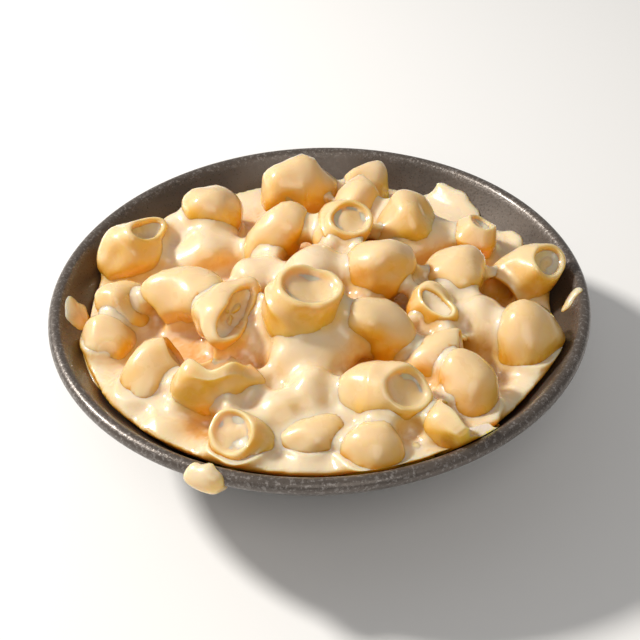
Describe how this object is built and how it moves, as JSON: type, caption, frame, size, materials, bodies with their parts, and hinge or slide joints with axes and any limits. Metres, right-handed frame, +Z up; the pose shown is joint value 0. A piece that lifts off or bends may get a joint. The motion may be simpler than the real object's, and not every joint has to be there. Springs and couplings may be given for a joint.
{
  "type": "mac and cheese",
  "caption": "Mac and cheese: a heap of short pipe macaroni in a pool of pale cheese sauce, served in a shallow turned bowl with a rounded lip.",
  "frame": {"origin": "under the middle of the bowl's foot ring, on the plane that it stands on", "axes": "+Z up through the middle of the bowl; -Y towards the side that the dish is seen from"},
  "size_m": [0.17, 0.17, 0.0672],
  "materials": {
    "bowl": "satin",
    "cheese_sauce": "gloss",
    "macaroni": "gloss"
  },
  "bodies": {
    "root": {"bowl": "bowl", "cheese_sauce": "cheese_sauce", "macaroni_heap": "macaroni"}
  },
  "joints": []
}
